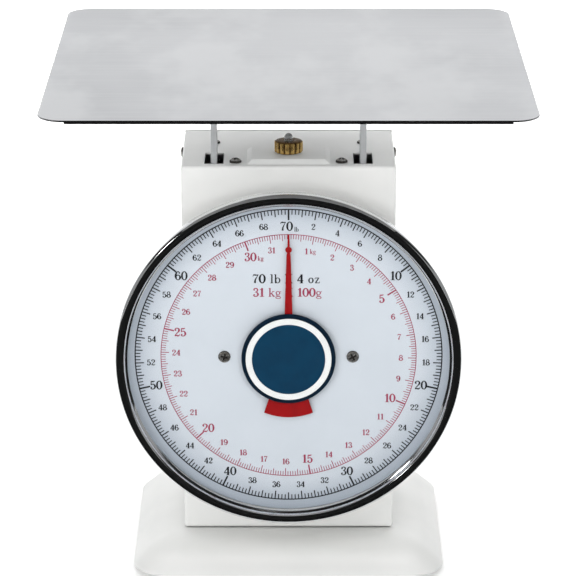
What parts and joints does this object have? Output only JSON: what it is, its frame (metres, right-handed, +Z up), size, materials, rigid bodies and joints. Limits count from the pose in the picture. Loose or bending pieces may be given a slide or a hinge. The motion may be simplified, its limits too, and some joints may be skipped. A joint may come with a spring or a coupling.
{
  "type": "mechanical dial platform scale",
  "caption": "Spring platform scale: a square tray on two straps over an enamelled column, with a large round dial, pointer and zero adjuster.",
  "frame": {"origin": "on the floor under the middle of the platform tray, at the bottom of the rubber feet", "axes": "+Z up, the dial faces -Y, +X to the right of a reader who faces the dial"},
  "size_m": [0.34, 0.34, 0.366],
  "materials": {
    "white_enamel": "gloss white baked enamel",
    "carriage_paint": "light grey-white paint on steel bar",
    "tray_stainless": "satin brushed stainless sheet",
    "chrome_bezel": "polished",
    "clear_lens": "clear flat lens",
    "dial_print": "matt pale dial with printed scales",
    "pointer_red": "satin red",
    "hub_cap": "satin blue with a white ring",
    "brass": "machined",
    "screw_steel": "dark nickel plated screw",
    "zinc_steel": "zinc plated pressed steel",
    "spring_steel": "oiled spring wire",
    "rubber": "matt black moulded rubber"
  },
  "bodies": {
    "housing": {"base_pan": "white_enamel", "foot_1": "rubber", "foot_2": "rubber", "foot_3": "rubber", "foot_4": "rubber", "body_casing": "white_enamel", "rear_cover": "white_enamel", "rear_cover_screw_1": "screw_steel", "rear_cover_screw_2": "screw_steel", "rear_cover_screw_3": "screw_steel", "rear_cover_screw_4": "screw_steel", "dial_housing": "white_enamel", "bezel_ring": "chrome_bezel", "lens_gasket": "rubber", "dial_lens": "clear_lens", "dial_plate": "dial_print", "dial_screw_left": "screw_steel", "dial_screw_right": "screw_steel", "dial_post_left": "zinc_steel", "dial_post_right": "zinc_steel", "side_plate_left": "zinc_steel", "side_plate_right": "zinc_steel", "top_bridge": "zinc_steel", "front_bearing_plate": "zinc_steel", "rear_bearing_plate": "zinc_steel", "front_bush": "brass", "rear_bush": "brass", "lower_pivot_shaft": "zinc_steel", "upper_pivot_shaft": "zinc_steel", "dashpot_cylinder": "zinc_steel", "top_front_screw_left": "screw_steel", "top_front_screw_right": "screw_steel", "top_rear_screw_left": "screw_steel", "top_rear_screw_right": "screw_steel", "side_screw_left": "screw_steel", "side_screw_right": "screw_steel"},
    "carriage": {"strap_left": "carriage_paint", "strap_right": "carriage_paint", "rail_left": "carriage_paint", "rail_right": "carriage_paint", "rail_tie_plate": "carriage_paint", "pad_front_left": "rubber", "pad_rear_left": "rubber", "pad_front_right": "rubber", "pad_rear_right": "rubber", "carriage_cross": "zinc_steel", "rack": "brass", "dashpot_piston": "zinc_steel", "spring_left": "spring_steel", "spring_right": "spring_steel"},
    "platform": {"tray": "tray_stainless"},
    "indicator": {"pointer": "pointer_red", "hub_cap": "hub_cap", "pointer_shaft": "zinc_steel", "pinion": "brass"},
    "lower_lever": {"lower_lever": "zinc_steel"},
    "upper_lever": {"upper_lever": "zinc_steel"},
    "hanger": {"spring_hanger": "zinc_steel", "adjuster_stud": "zinc_steel"},
    "adjuster": {"thumb_nut": "brass"}
  },
  "joints": [
    {"name": "carriage_slide", "type": "slide", "parent": "housing", "child": "carriage", "axis": [0, 0, -1], "range_m": [0, 0.01884], "stiffness_N_per_m": 16500, "springref_m": -0.0025, "deforming": ["spring_left", "spring_right"]},
    {"name": "tray_lift", "type": "slide", "parent": "carriage", "child": "platform", "axis": [0, 0, 1], "range_m": [0, 0.06]},
    {"name": "pointer_spin", "type": "hinge", "parent": "housing", "child": "indicator", "pos_m": [0, -0.0885, 0.169], "axis": [0, 1, 0], "range_deg": [0, 360]},
    {"name": "lower_lever_swing", "type": "hinge", "parent": "housing", "child": "lower_lever", "pos_m": [0, 0.037, 0.07], "axis": [1, 0, 0], "range_deg": [0, 15]},
    {"name": "upper_lever_swing", "type": "hinge", "parent": "housing", "child": "upper_lever", "pos_m": [0, 0.037, 0.226], "axis": [1, 0, 0], "range_deg": [0, 15]},
    {"name": "nut_turn", "type": "hinge", "parent": "housing", "child": "adjuster", "pos_m": [0, -0.028, 0.3098], "axis": [0, 0, 1], "range_deg": [-540, 540]},
    {"name": "hanger_lift", "type": "slide", "parent": "housing", "child": "hanger", "axis": [0, 0, 1], "range_m": [-0.0016, 0.0016]}
  ],
  "couplings": [
    {"joint": "pointer_spin", "follows": "carriage_slide", "rad_per_m": 333.33},
    {"joint": "lower_lever_swing", "follows": "carriage_slide", "rad_per_m": 13.889},
    {"joint": "upper_lever_swing", "follows": "carriage_slide", "rad_per_m": 13.889},
    {"joint": "hanger_lift", "follows": "nut_turn", "m_per_rad": -0.00015915}
  ]
}
